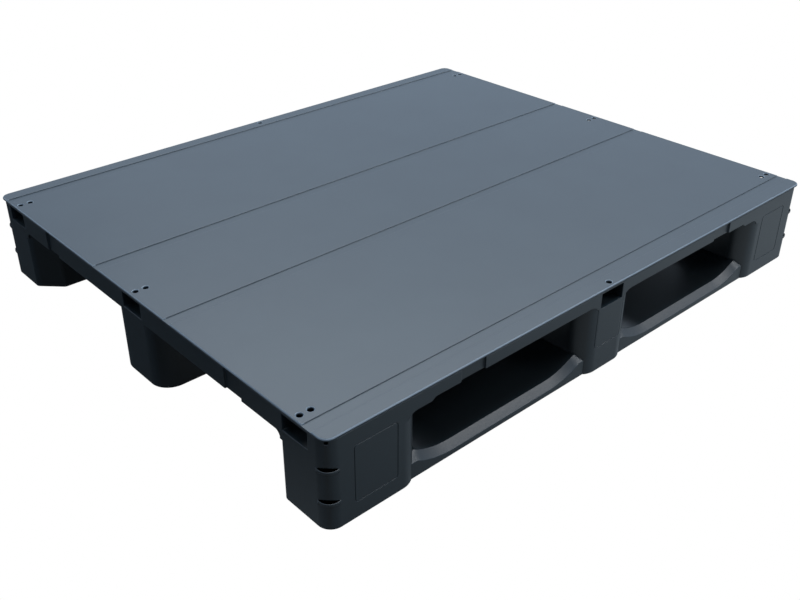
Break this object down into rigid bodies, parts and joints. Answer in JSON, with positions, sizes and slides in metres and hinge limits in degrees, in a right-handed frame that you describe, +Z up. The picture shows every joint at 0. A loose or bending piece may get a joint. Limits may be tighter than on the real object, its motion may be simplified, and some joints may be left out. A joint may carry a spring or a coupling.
{
  "type": "plastic pallet",
  "caption": "Closed-deck plastic pallet with feet in rows on lengthwise runners, entered by forks from every side.",
  "frame": {"origin": "on the floor, under the middle of the deck", "axes": "+X along the runners, the long side; +Y across the runners; +Z up through the deck"},
  "size_m": [1.2, 1, 0.16],
  "materials": {
    "deck_plastic": "satin moulded slate grey",
    "frame_plastic": "satin moulded slate grey",
    "runner_plastic": "satin moulded slate grey",
    "tube_steel": "galvanised",
    "screw_steel": "zinc plated"
  },
  "bodies": {
    "root": {"deck_plate": "deck_plastic", "base_frame": "frame_plastic", "front_left_foot": "frame_plastic", "front_middle_foot": "frame_plastic", "front_right_foot": "frame_plastic", "middle_left_foot": "frame_plastic", "middle_middle_foot": "frame_plastic", "middle_right_foot": "frame_plastic", "rear_left_foot": "frame_plastic", "rear_middle_foot": "frame_plastic", "rear_right_foot": "frame_plastic", "front_runner": "runner_plastic", "middle_runner": "runner_plastic", "rear_runner": "runner_plastic", "front_tube": "tube_steel", "middle_tube": "tube_steel", "rear_tube": "tube_steel", "front_cross_tube": "tube_steel", "rear_cross_tube": "tube_steel", "front_runner_screws": "screw_steel", "middle_runner_screws": "screw_steel", "rear_runner_screws": "screw_steel"}
  },
  "joints": []
}
